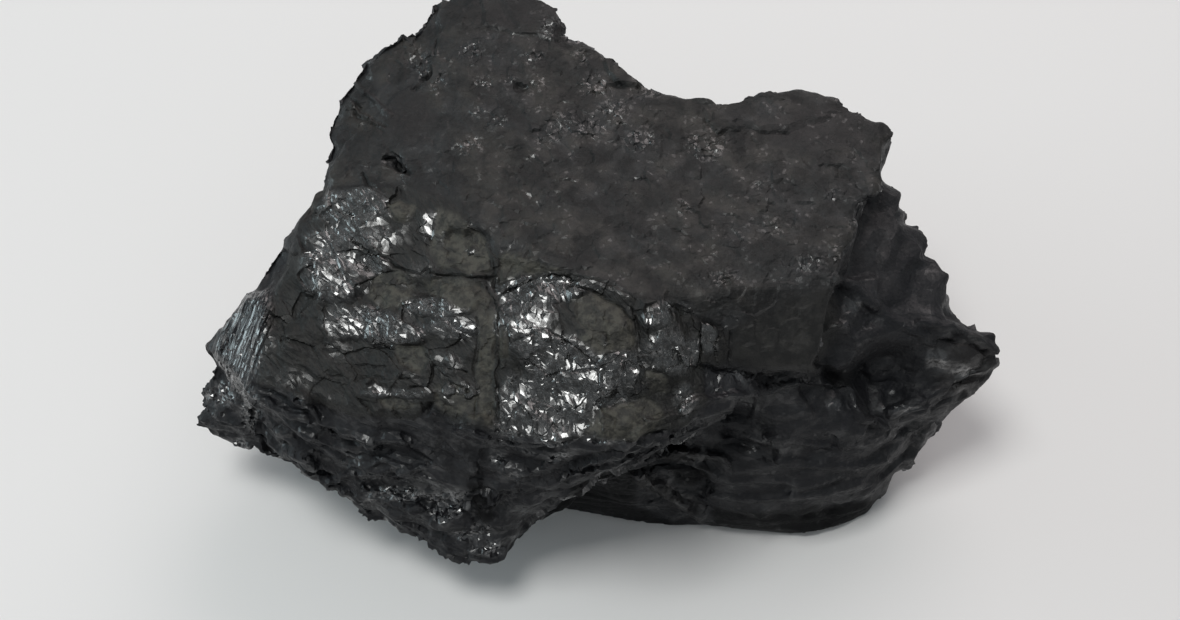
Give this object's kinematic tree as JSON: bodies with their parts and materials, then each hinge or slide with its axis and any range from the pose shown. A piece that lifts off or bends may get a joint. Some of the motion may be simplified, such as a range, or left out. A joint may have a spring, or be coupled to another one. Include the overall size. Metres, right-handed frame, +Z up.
{
  "type": "coal lump",
  "caption": "Hand-sized lump of layered black coal with a dull top slab, a glossy cracked slope, ledged sides and a flat base to rest on.",
  "frame": {"origin": "centre of the lump's footprint box, on the flat parting face it rests on", "axes": "+X along the lump's longest side, towards the pointed nose; +Z up, its shortest side, across the bedding; +Y towards the back"},
  "size_m": [0.11, 0.0728, 0.0463],
  "materials": {
    "coal": "dull to glassy black, layered and fractured"
  },
  "bodies": {
    "root": {"coal_lump": "coal"}
  },
  "joints": []
}
